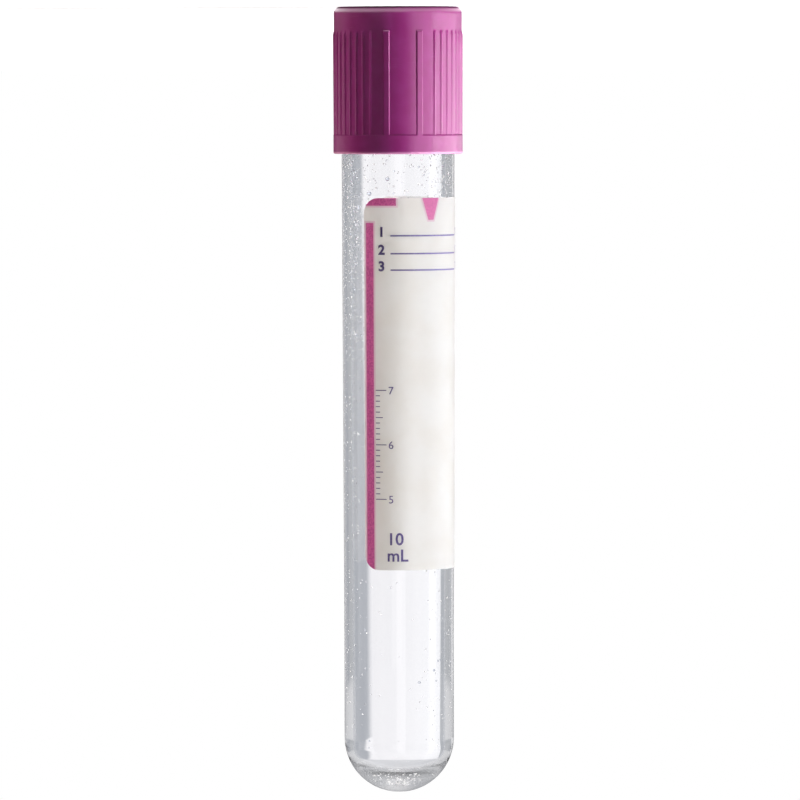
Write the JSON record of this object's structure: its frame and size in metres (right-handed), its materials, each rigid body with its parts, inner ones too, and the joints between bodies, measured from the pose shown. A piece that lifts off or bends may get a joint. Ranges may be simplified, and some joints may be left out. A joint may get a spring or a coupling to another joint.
{
  "type": "blood collection tube",
  "caption": "Round-bottom clear plastic blood collection tube, 16 x 100 mm, with a ribbed push-on safety closure over a rubber stopper, a wrapped label and dried additive inside.",
  "frame": {"origin": "on the tube's axis, in the plane of the flat ring at the top of the closure, on which the tube stands on its head", "axes": "+Z along the axis from the closure to the closed end, which points up; -Y towards the front, where the label's printed edge is 37 degrees to the +X side"},
  "size_m": [0.0178, 0.0178, 0.1082],
  "materials": {
    "clear_plastic": "clear, smooth moulded",
    "shield_plastic": "satin moulded",
    "stopper_rubber": "matt moulded",
    "label_film": "semi-matt printed film",
    "dried_additive": "dried clear to whitish drops"
  },
  "bodies": {
    "tube_body": {"tube": "clear_plastic", "label": "label_film", "additive_droplets": "dried_additive"},
    "closure": {"shield": "shield_plastic", "stopper": "stopper_rubber"}
  },
  "joints": [
    {"name": "tube_pull", "type": "slide", "parent": "closure", "child": "tube_body", "axis": [0, 0, 1], "range_m": [0, 0.03]}
  ]
}
